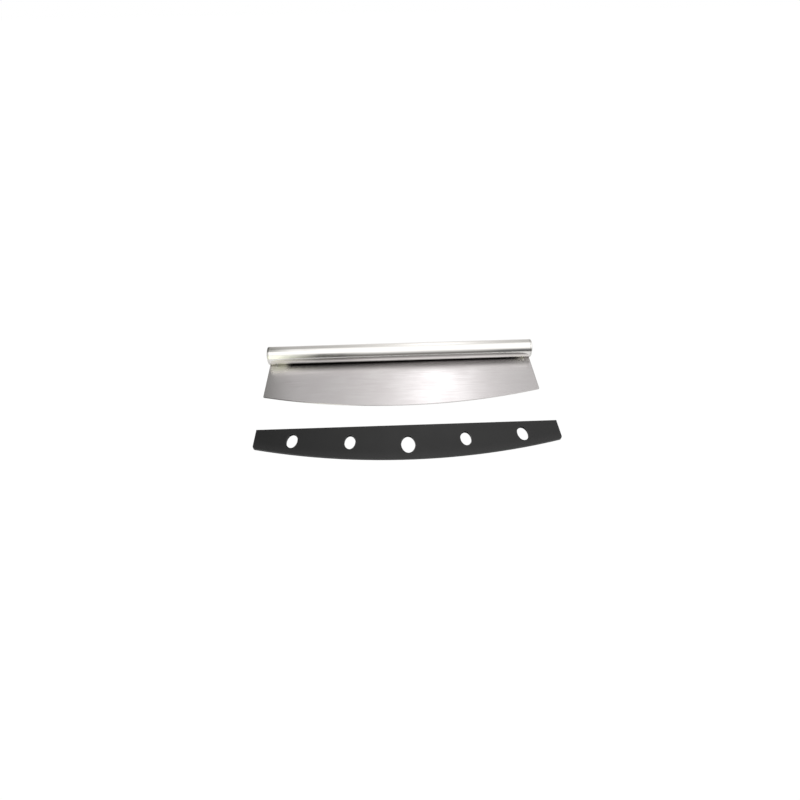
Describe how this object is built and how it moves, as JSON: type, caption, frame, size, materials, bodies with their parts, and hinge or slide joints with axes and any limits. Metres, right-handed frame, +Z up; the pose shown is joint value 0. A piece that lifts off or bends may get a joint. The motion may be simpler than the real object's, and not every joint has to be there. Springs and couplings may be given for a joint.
{
  "type": "rocking pizza knife",
  "caption": "Rocking pizza knife: a long tube handle over a plate blade with one curved edge, and a slotted cover that slides onto the edge.",
  "frame": {"origin": "bottom centre of the bounding box of the knife and its cover as they lie", "axes": "+X along the handle, +Y from the cutting edge towards the handle, +Z up"},
  "size_m": [0.3636, 0.1849, 0.025],
  "materials": {
    "polished_steel": "polished stainless tube and caps",
    "brushed_steel": "brushed along its length",
    "weld_metal": "ground tack welds",
    "cover_plastic": "black, fine matte"
  },
  "bodies": {
    "knife": {"handle_tube": "polished_steel", "end_cap_left": "polished_steel", "end_cap_right": "polished_steel", "blade": "brushed_steel", "weld_beads_front": "weld_metal", "weld_beads_rear": "weld_metal"},
    "cover": {"blade_cover": "cover_plastic"}
  },
  "joints": [
    {"name": "cover_slide", "type": "slide", "parent": "knife", "child": "cover", "axis": [-0.0508, 0.9987, 0.0041], "range_m": [0, 0.0807]}
  ]
}
